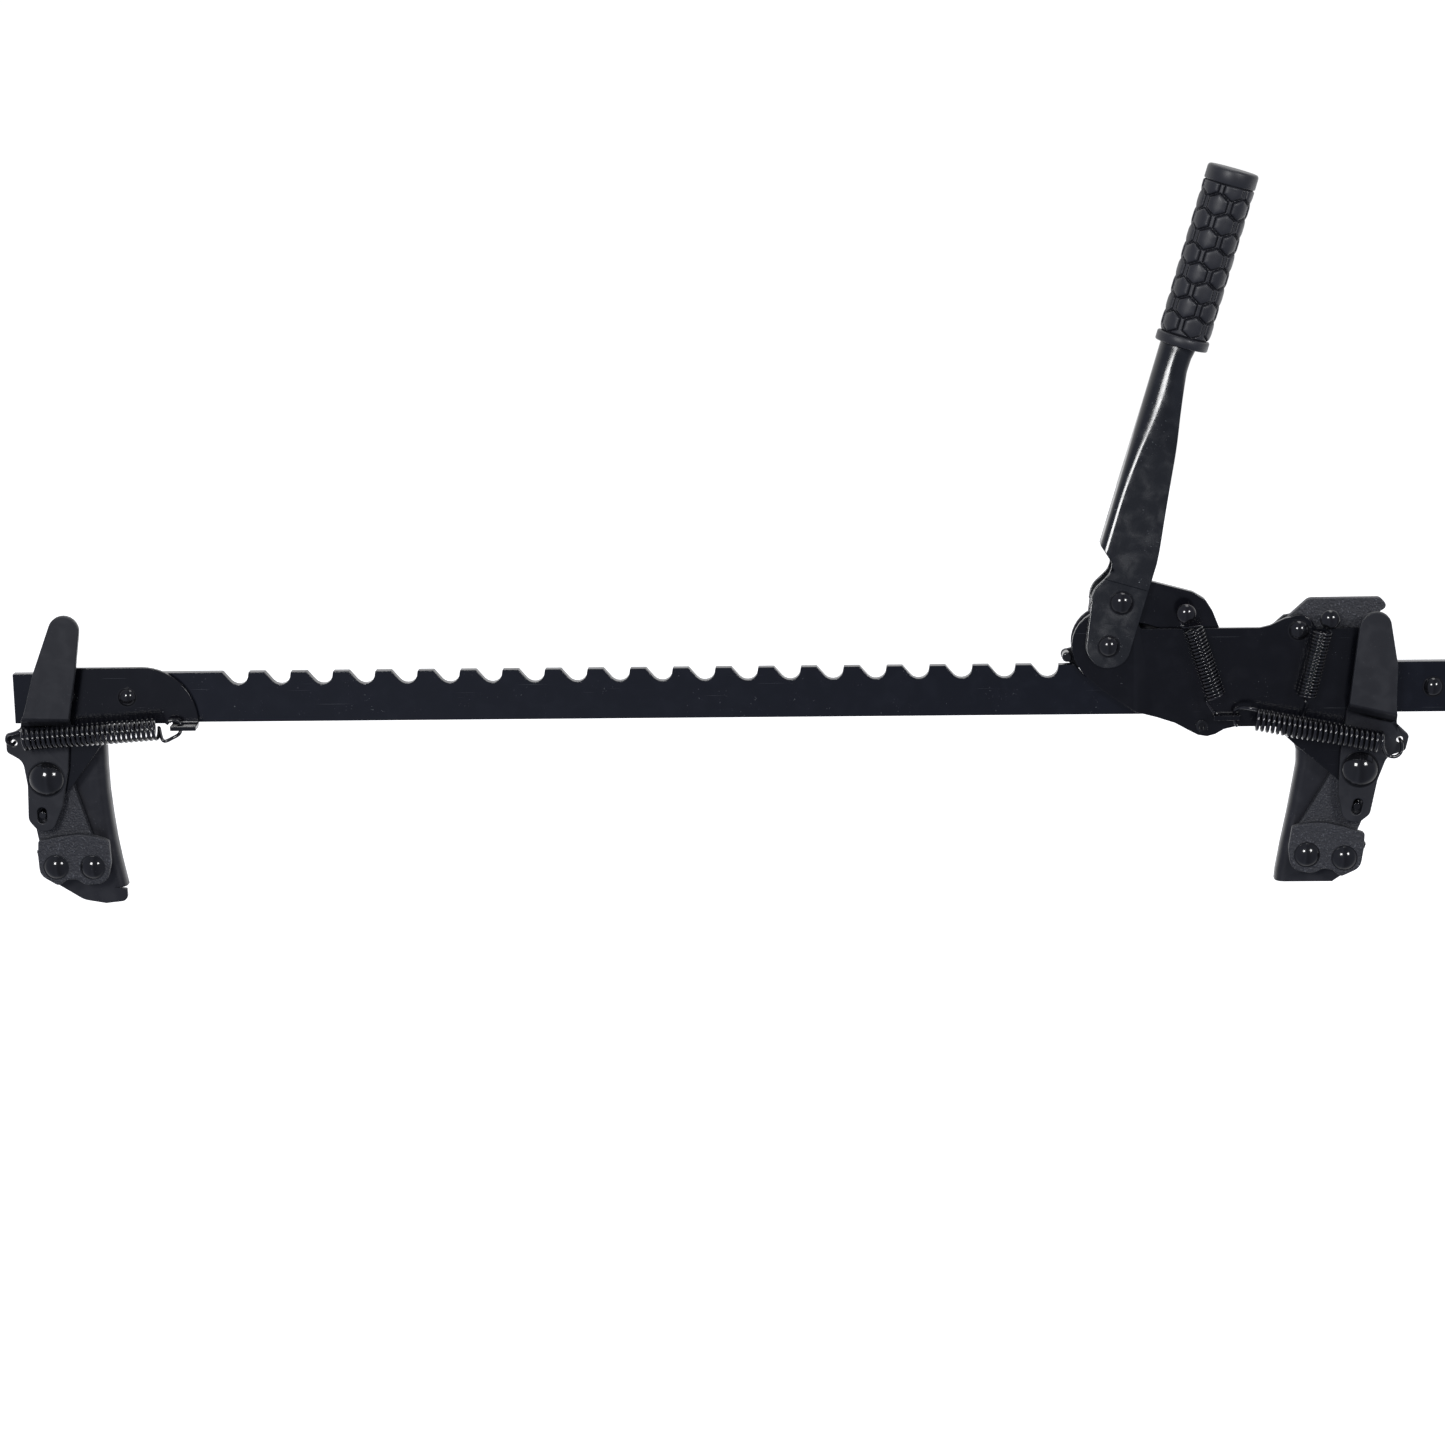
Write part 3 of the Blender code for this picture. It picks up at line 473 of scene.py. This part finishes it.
# --- Handle ----------------------------------------------------------------------------------------
def leg_edge(s):
    """The open edge of the handle's channel, which narrows from the pivot towards the grip."""
    knots = [(LOFT_START, 13.9), (58.0, 13.9), (66.0, 13.2), (75.0, 12.0), (85.0, 10.6), (110.0, 7.4),
             (135.0, 4.4), (149.0, 2.6), (165.0, 0.8), (176.0, -0.4), (184.0, -0.2), (190.0, 1.0)]
    for (s0, u0), (s1, u1) in zip(knots, knots[1:]):
        if s <= s1:
            t = (s - s0) / (s1 - s0)
            return u0 + (u1 - u0) * t
    return knots[-1][1]


def channel_section(s):
    """The handle's folded sheet across s: a channel near the pivot that closes to a tube at the grip."""
    fold = 5.2 + 6.1 * smooth_step(85.0, 170.0, s)
    closing = smooth_step(122.0, 182.0, s)
    edge = leg_edge(s)
    thick = LEG_OUTER - LEG_INNER
    steps = 12
    tube_turn = 150.0

    def half(offset):
        """One side of the section from the middle of its web, set in from the outer face by the offset."""
        depth, bend = LEG_OUTER - offset, max(fold - offset, 0.4)
        web = WEB_U + offset
        flat = [(web + bend - bend * math.cos(math.radians(90.0 * i / steps)),
                 depth - bend + bend * math.sin(math.radians(90.0 * i / steps))) for i in range(steps + 1)]
        flat += [(web + bend + (edge - web - bend) * i / steps, depth) for i in range(1, steps + 1)]
        middle, radius = (WEB_U + edge) / 2.0, (edge - WEB_U) / 2.0 - offset
        turns = [math.radians(tube_turn * i / (2 * steps)) for i in range(2 * steps + 1)]
        bent = [(middle - radius * math.cos(a), depth * math.sin(a)) for a in turns]
        return [(f[0] + (r[0] - f[0]) * closing, f[1] + (r[1] - f[1]) * closing) for f, r in zip(flat, bent)]

    outer, inner = half(0.0), half(thick)
    ring = [(u, -y) for u, y in outer[::-1]] + outer[1:]
    ring += [(u, y) for u, y in inner[::-1]] + [(u, -y) for u, y in inner[1:]]
    return ring


def notch_curve():
    """The outline that clears the handle's web below its foot, closed well to the left of the handle."""
    left = -60.0
    corners = [(-15.5, 38.0), (-14.4, 40.0), (-13.4, 41.8), (-12.6, 44.0), (-12.3, 46.4), (-12.35, 48.2),
               (-12.9, 50.2), (-13.9, 51.7), (-15.2, 52.9), (-18.6, 55.9), (WEB_U + 0.2, WEB_FOOT),
               (left, WEB_FOOT + 12.0)]
    return corners + [(left, 38.0)]


def cut_away(bm, cutter):
    """The first mesh with the second one removed from it."""
    pair = []
    for name, source in (("body", bm), ("cutter", cutter)):
        mesh = bpy.data.meshes.new(name)
        source.to_mesh(mesh)
        source.free()
        pair.append(bpy.data.objects.new(name, mesh))
        bpy.context.scene.collection.objects.link(pair[-1])
    modifier = pair[0].modifiers.new("cut", "BOOLEAN")
    modifier.operation, modifier.solver, modifier.object = "DIFFERENCE", "EXACT", pair[1]
    bpy.context.view_layer.update()
    evaluated = pair[0].evaluated_get(bpy.context.evaluated_depsgraph_get())
    result = bmesh.new()
    result.from_mesh(evaluated.to_mesh())
    evaluated.to_mesh_clear()
    for obj in pair:
        mesh = obj.data
        bpy.data.objects.remove(obj, do_unlink=True)
        bpy.data.meshes.remove(mesh)
    bmesh.ops.remove_doubles(result, verts=result.verts[:], dist=WELD)
    return result


def build_legs(mats):
    """The handle's two legs round the pivot rivet, from the CAD piece."""
    bm = welded("handle_channel")
    along = (handle_place(0.0, 0.0, 1.0) - handle_place(0.0, 0.0, 0.0)).normalized()
    cut = bmesh.ops.bisect_plane(bm, geom=bm.verts[:] + bm.edges[:] + bm.faces[:], dist=1e-6,
                                 plane_co=handle_place(0.0, 0.0, LOFT_START), plane_no=along,
                                 clear_outer=True)
    rim = [e for e in cut["geom_cut"] if isinstance(e, bmesh.types.BMEdge)]
    bmesh.ops.holes_fill(bm, edges=rim)
    legs = add_object("handle_channel_fine", bm, mats["leg"], "handle", ["handle_channel"])
    soften(legs, 0.5)


def build_shaft(mats):
    """The handle's folded sheet from the legs to the grip, with the curved notch at the foot of its web."""
    bm = bmesh.new()
    rings = []
    count = 84
    for i in range(count + 1):
        s = LOFT_START + (LOFT_END - LOFT_START) * i / count
        rings.append([bm.verts.new(handle_place(u, y, s)) for u, y in channel_section(s)])
    for low, high in zip(rings, rings[1:]):
        for k in range(len(low)):
            bm.faces.new((low[k - 1], low[k], high[k], high[k - 1]))
    bm.faces.new(rings[0])
    bm.faces.new(rings[-1])
    bmesh.ops.recalc_face_normals(bm, faces=bm.faces[:])
    cutter = bmesh.new()
    for y in (-30.0, 30.0):
        cutter.faces.new([cutter.verts.new(handle_place(u, y, s)) for u, s in notch_curve()])
    made = list(cutter.faces)
    for i in range(len(made[0].verts)):
        near, far = made[0].verts[:], made[1].verts[:]
        cutter.faces.new((near[i - 1], near[i], far[i], far[i - 1]))
    bmesh.ops.recalc_face_normals(cutter, faces=cutter.faces[:])
    shaft = add_object("handle_channel_shaft", cut_away(bm, cutter), mats["leg"], "handle",
                       (), 50.0)
    soften(shaft, 0.4, angle=60.0)


def pad_distance(lateral, along, squash=1.06):
    """How far an offset from a pad's middle is from that middle, measured so that the pad is a hexagon."""
    x, w = abs(lateral), abs(along) * squash
    sixth = math.radians(60.0)
    return max(x, x * math.cos(sixth) + w * math.sin(sixth))


def grip_radius(angle, s, low_band, high_band):
    """The grip's radius at an angle round it and a place along it, between the ends of its relief."""
    phase = math.radians(10.0)
    first_row = 203.7
    near = 0.62
    far = 99.0
    groove_middle = 0.30
    end_groove = 0.55
    best = far
    for k in range(PAD_COLUMNS):
        delta = (angle - phase - math.tau * k / PAD_COLUMNS + math.pi) % math.tau - math.pi
        row = first_row + (0.5 * PAD_PITCH if k % 2 else 0.0)
        along = (s - row + 0.5 * PAD_PITCH) % PAD_PITCH - 0.5 * PAD_PITCH
        if abs(delta) <= near and GRIP_START + 8.0 <= s - along <= GRIP_END - 9.5:
            best = min(best, pad_distance(GRIP_RADIUS * delta, along))
    ring = math.exp(-((best - PAD_HALF - groove_middle) / GROOVE_WIDTH) ** 2)
    pad = PAD_BULGE * math.sqrt(max(0.0, 1.0 - (best / PAD_HALF) ** 4)) if best < PAD_HALF else 0.0
    edge = min(s - low_band, high_band - s)
    return GRIP_RADIUS + pad - GROOVE_DEPTH * max(ring, math.exp(-(edge / end_groove) ** 2))


def build_grip(mats):
    low_band, high_band = GRIP_START + 6.4, GRIP_END - 9.6
    around = 288
    levels = 300

    bm = bmesh.new()
    rings = []
    collar = [(13.6, GRIP_START), (16.0, GRIP_START), (16.45, GRIP_START + 0.5),
              (16.45, GRIP_START + 5.2), (16.0, GRIP_START + 5.9)]
    ends = [(15.6, high_band + 0.3), (15.95, high_band + 0.9), (15.9, GRIP_END - 1.9),
            (15.55, GRIP_END - 0.8), (14.7, GRIP_END - 0.15), (13.6, GRIP_END), (0.0, GRIP_END + 0.25)]

    def ring_of(radius, s):
        if radius == 0.0:
            return [bm.verts.new(handle_place(GRIP_U, 0.0, s))]
        return [bm.verts.new(handle_place(GRIP_U + radius * math.sin(math.tau * i / around),
                                          -radius * math.cos(math.tau * i / around), s))
                for i in range(around)]

    for radius, s in collar:
        rings.append(ring_of(radius, s))
    for j in range(levels + 1):
        s = low_band + (high_band - low_band) * j / levels
        ring = []
        for i in range(around):
            angle = math.tau * i / around
            r = grip_radius(angle, s, low_band, high_band)
            ring.append(bm.verts.new(handle_place(GRIP_U + r * math.sin(angle), -r * math.cos(angle), s)))
        rings.append(ring)
    for radius, s in ends:
        rings.append(ring_of(radius, s))
    for low, high in zip(rings, rings[1:]):
        for i in range(around):
            corners = [low[i - 1], low[i], high[i % len(high)], high[(i - 1) % len(high)]]
            bm.faces.new(list(dict.fromkeys(corners)))
    bmesh.ops.recalc_face_normals(bm, faces=bm.faces[:])
    add_object("rubber_grip_fine", bm, mats["rubber"], "handle", ["rubber_grip"], 70.0)


# --- Assembly --------------------------------------------------------------------------------------
def build_plates(mats):
    refine("notched_bar", mats["bar"], "bar", 0.5)
    refine("left_front_plate", mats["plate"], "bar", 0.45)
    refine("left_back_plate", mats["guard"], "bar", 0.5)
    refine("carriage_front_plate", mats["plate"], "carriage", 0.45)
    refine("carriage_back_plate", mats["guard"], "carriage", 0.5)
    refine("drive_pawl", mats["plate"], "drive_pawl", 0.7)
    refine("holding_pawl", mats["cast"], "holding_pawl", 0.7)
    refine("spacer_sleeve", mats["plate"], "carriage", 0.2)
    for side, root in (("left", "bar"), ("right", "carriage")):
        refine(side + "_thumb_lever", mats["satin"], side + "_grip", 0.7)
        refine(side + "_cam", mats["cast"], side + "_grip", 0.6)
        refine(side + "_cam_pin", mats["rivet"], side + "_grip", 0.4)
        refine_block(side + "_grip_block", mats["cast"], root)
        rivet(side + "_pivot_rivet", root, LARGE_RIVET, mats)
        for number in "12":
            rivet(f"{side}_block_rivet_{number}", root, SMALL_RIVET, mats)
    for node in ("left_frame_rivet_1", "left_frame_rivet_2", "tail_stop_rivet"):
        rivet(node, "bar", SMALL_RIVET, mats)
    for node in ("handle_pivot_rivet", "holding_pawl_rivet"):
        rivet(node, "carriage", PIVOT_RIVET, mats)
    rivet("handle_pawl_rivet", "handle", PAWL_RIVET, mats)
    for pawl in ("drive_pawl", "holding_pawl"):
        rivet(pawl + "_stud", pawl, STUD, mats, seat=0.0, shank_share=0.4)
    refine("tubular_rivet", mats["rivet"], "carriage", 0.25)
    refine("bar_guide_pin", mats["rivet"], "carriage", 0.5)


# --- Studio ----------------------------------------------------------------------------------------
def emitter(name, place, target, width, height, power):
    """A rectangular area light that faces the target."""
    light = bpy.data.lights.new(name, "AREA")
    light.shape = "RECTANGLE"
    light.size = width
    light.size_y = height
    light.energy = power
    obj = bpy.data.objects.new(name, light)
    obj.location = place
    obj.rotation_mode = "QUATERNION"
    obj.rotation_quaternion = (Vector(target) - Vector(place)).to_track_quat("-Z", "Y")
    bpy.context.scene.collection.objects.link(obj)
    return obj


def build_world():
    """White behind the tool, and a dim studio on the camera's side, darkest just right of the middle."""
    sky = bpy.data.worlds.new("studio")
    bpy.context.scene.world = sky
    sky.use_nodes = True
    tree = sky.node_tree
    tree.nodes.clear()
    coords = tree.nodes.new("ShaderNodeTexCoord")
    parts = tree.nodes.new("ShaderNodeSeparateXYZ")
    tree.links.new(coords.outputs["Generated"], parts.inputs[0])
    front = tree.nodes.new("ShaderNodeValToRGB")
    stops = [(0.20, 0.30), (0.33, 0.24), (0.42, 0.34), (0.47, 0.27), (0.53, 0.17), (0.62, 0.14),
             (0.80, 0.24)]
    tint = (0.88, 0.95, 1.2)
    white = (1.02, 1.02, 1.03, 1.0)
    ramp = front.color_ramp
    ramp.interpolation = "B_SPLINE"
    while len(ramp.elements) < len(stops):
        ramp.elements.new(0.5)
    for element, (place, level) in zip(ramp.elements, stops):
        element.position = place
        element.color = (*(level * part for part in tint), 1.0)
    to_unit = tree.nodes.new("ShaderNodeMapRange")
    to_unit.inputs["From Min"].default_value = -1.0
    to_unit.inputs["From Max"].default_value = 1.0
    tree.links.new(parts.outputs["X"], to_unit.inputs["Value"])
    tree.links.new(to_unit.outputs["Result"], front.inputs["Fac"])
    side = tree.nodes.new("ShaderNodeMapRange")
    side.interpolation_type = "SMOOTHSTEP"
    side.inputs["From Min"].default_value = -0.25
    side.inputs["From Max"].default_value = 0.60
    tree.links.new(parts.outputs["Y"], side.inputs["Value"])
    mix = tree.nodes.new("ShaderNodeMix")
    mix.data_type = "RGBA"
    tree.links.new(side.outputs["Result"], mix.inputs["Factor"])
    tree.links.new(front.outputs["Color"], mix.inputs[6])
    mix.inputs[7].default_value = white
    shade = tree.nodes.new("ShaderNodeBackground")
    tree.links.new(mix.outputs[2], shade.inputs["Color"])
    out = tree.nodes.new("ShaderNodeOutputWorld")
    tree.links.new(shade.outputs[0], out.inputs["Surface"])


def build_stage():
    """A pale floor well below the tool, lit evenly so that it meets the white surroundings."""
    mesh = bpy.data.meshes.new("floor")
    bm = bmesh.new()
    left, right, near, far, level = -5.0, 6.0, 0.9, 7.0, -1.0
    corners = [(left, near), (right, near), (right, far), (left, far)]
    bm.faces.new([bm.verts.new((x, y, level)) for x, y in corners])
    bm.to_mesh(mesh)
    bm.free()
    floor = bpy.data.objects.new("floor", mesh)
    bpy.context.scene.collection.objects.link(floor)
    mat = bpy.data.materials.new("floor_white")
    mat.use_nodes = True
    tree = mat.node_tree
    bsdf = tree.nodes["Principled BSDF"]
    bsdf.inputs["Base Color"].default_value = (0.85, 0.85, 0.85, 1.0)
    bsdf.inputs["Roughness"].default_value = 0.9
    bsdf.inputs["Emission Color"].default_value = (1.0, 1.0, 1.0, 1.0)
    bsdf.inputs["Emission Strength"].default_value = 0.75
    floor.data.materials.append(mat)


def build_camera():
    """A long lens a little above the tool, turned slightly to its right."""
    azimuth, elevation, roll = math.radians(2.76), math.radians(12.77), math.radians(-1.095)
    distance, lens = 2.300, 91.0041
    target = Vector((0.4489, 0.0, -0.019863))
    forward = Vector((-math.sin(azimuth) * math.cos(elevation), math.cos(azimuth) * math.cos(elevation),
                      -math.sin(elevation)))
    right = Vector((math.cos(azimuth), math.sin(azimuth), 0.0))
    up = right.cross(forward)
    turned_right = right * math.cos(roll) + up * math.sin(roll)
    turned_up = up * math.cos(roll) - right * math.sin(roll)
    data = bpy.data.cameras.new("camera")
    data.sensor_width = 36.0
    data.lens = lens
    data.clip_start, data.clip_end = 0.05, 60.0
    cam = bpy.data.objects.new("camera", data)
    matrix = Matrix((turned_right, turned_up, -forward)).transposed().to_4x4()
    matrix.translation = target - forward * distance
    cam.matrix_world = matrix
    bpy.context.scene.collection.objects.link(cam)
    bpy.context.scene.camera = cam


def build_lights():
    """Two soft keys in front, a weak top light, and a card whose light reaches only the handle's paint."""
    emitter("key_left", (-0.87, -4.30, 1.75), (0.45, 0.0, 0.0), 1.05, 1.05, 95.0)
    emitter("key_right", (3.16, -3.59, 1.75), (0.45, 0.0, 0.0), 1.0, 1.0, 75.0)
    emitter("top", (0.9, 0.1, 1.9), (0.6, 0.0, 0.0), 1.4, 0.7, 8.0)
    fold_card = emitter("fold_card", (-0.15, -1.9, -0.18), (0.75, 0.0, 0.12), 0.95, 0.9, 75.0)
    handle_only = bpy.data.collections.new("fold_card_receivers")
    for name in ("handle_channel_shaft", "handle_channel_fine"):
        handle_only.objects.link(bpy.data.objects[name])
    fold_card.visible_diffuse = False
    fold_card.light_linking.receiver_collection = handle_only


def main():
    mats = make_materials()
    build_plates(mats)
    build_legs(mats)
    build_shaft(mats)
    build_grip(mats)
    build_springs(mats)
    build_world()
    build_stage()
    build_lights()
    build_camera()
    bpy.context.scene.view_settings.view_transform = "Standard"


main()
